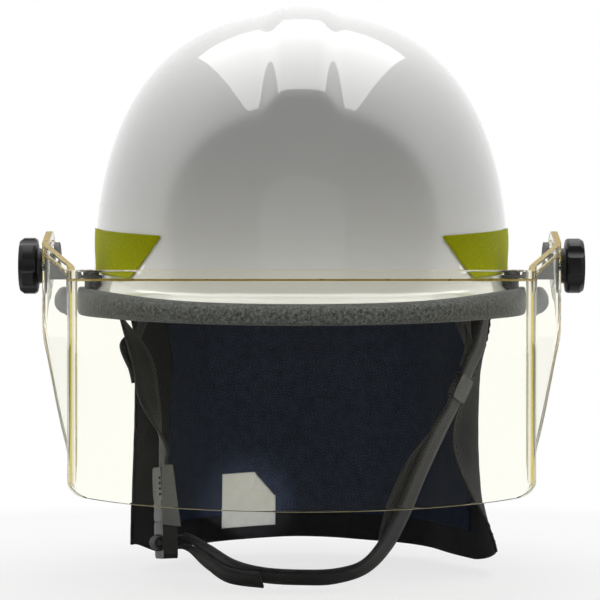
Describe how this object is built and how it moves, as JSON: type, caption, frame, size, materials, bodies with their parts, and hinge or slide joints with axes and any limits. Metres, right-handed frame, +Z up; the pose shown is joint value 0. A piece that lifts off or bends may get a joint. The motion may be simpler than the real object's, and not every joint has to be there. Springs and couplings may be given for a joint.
{
  "type": "fire helmet",
  "caption": "White domed fire helmet with a wide brim, tilting clear faceshield on side knobs, ratchet headband, chin strap and neck curtain.",
  "frame": {"origin": "middle of the headband, level with the edge of the brim at the sides", "axes": "+Z up through the crown, -Y out of the front, +X to the right of a viewer in front"},
  "size_m": [0.3086, 0.3925, 0.3228],
  "materials": {
    "shell_white": "high gloss white",
    "trim_rubber": "rough moulded rubber",
    "sticker_lime": "fluorescent lime reflective film",
    "liner_foam": "moulded urethane foam",
    "black_nylon": "moulded black nylon",
    "black_steel": "black powder coat",
    "bright_steel": "zinc plated steel",
    "knob_black": "moulded black nylon, fine grain",
    "shield_clear": "clear polycarbonate, faint yellow",
    "gear_white": "natural acetal",
    "web_black": "black polyester webbing",
    "pad_black": "black brushed cotton over foam",
    "curtain_black": "black aramid cloth",
    "lining_navy": "navy quilted flannel",
    "label_white": "white woven tape, bare",
    "tag_grey": "grey woven tape, bare"
  },
  "bodies": {
    "helmet": {"shell": "shell_white", "edge_trim": "trim_rubber", "reflective_trims": "sticker_lime", "impact_liner": "liner_foam", "bracket_left": "black_steel", "bracket_right": "black_steel", "bracket_pads": "trim_rubber", "bracket_screws": "black_steel", "bracket_nuts": "bright_steel", "pivot_bolts": "bright_steel", "washers_inner": "bright_steel", "washers_outer": "bright_steel", "headband": "black_nylon", "strap_hangers": "black_nylon", "hanger_rivets": "bright_steel", "crown_strap_long": "web_black", "crown_strap_left": "web_black", "crown_strap_right": "web_black", "crown_pad": "pad_black", "brow_pad": "pad_black", "nape_pad": "pad_black", "ratchet_base": "black_nylon", "ratchet_cover": "black_nylon", "ratchet_screws": "bright_steel", "chin_anchors": "black_nylon", "web_left_front": "web_black", "web_left_rear": "web_black", "web_right_front": "web_black", "web_right_rear": "web_black", "chin_web": "web_black", "buckle_female": "black_nylon", "buckle_male": "black_nylon", "strap_slide": "black_nylon", "strap_tag": "tag_grey", "neck_curtain": "curtain_black", "curtain_lining": "lining_navy", "curtain_label": "label_white", "ring_bracket": "web_black", "ring_rivets": "bright_steel"},
    "visor": {"faceshield": "shield_clear"},
    "left_knob": {"knob_left": "knob_black"},
    "right_knob": {"knob_right": "knob_black"},
    "ratchet": {"pinion": "gear_white", "ratchet_knob": "knob_black"},
    "right_rack": {"rack_right": "gear_white"},
    "left_rack": {"rack_left": "gear_white"},
    "ring": {"hanging_ring": "bright_steel"}
  },
  "joints": [
    {"name": "visor_tilt", "type": "hinge", "parent": "helmet", "child": "visor", "pos_m": [0, -0.05, 0.0175], "axis": [-1, 0, 0], "range_deg": [0, 70]},
    {"name": "knob_left_turn", "type": "hinge", "parent": "helmet", "child": "left_knob", "pos_m": [-0.147, -0.05, 0.0175], "axis": [-1, 0, 0], "continuous": true},
    {"name": "knob_right_turn", "type": "hinge", "parent": "helmet", "child": "right_knob", "pos_m": [0.147, -0.05, 0.0175], "axis": [1, 0, 0], "continuous": true},
    {"name": "ratchet_knob_turn", "type": "hinge", "parent": "helmet", "child": "ratchet", "pos_m": [0, 0.0957, 0], "axis": [0, 1, 0], "range_deg": [-55, 55]},
    {"name": "right_rack_slide", "type": "slide", "parent": "helmet", "child": "right_rack", "axis": [1, 0, 0], "range_m": [-0.006, 0.006]},
    {"name": "left_rack_slide", "type": "slide", "parent": "helmet", "child": "left_rack", "axis": [-1, 0, 0], "range_m": [-0.006, 0.006]},
    {"name": "ring_swing", "type": "hinge", "parent": "helmet", "child": "ring", "pos_m": [0, 0.18304, -0.01449], "axis": [1, 0, 0], "range_deg": [-70, 35]}
  ],
  "couplings": [
    {"joint": "right_rack_slide", "follows": "ratchet_knob_turn", "m_per_rad": 0.006},
    {"joint": "left_rack_slide", "follows": "ratchet_knob_turn", "m_per_rad": 0.006}
  ]
}
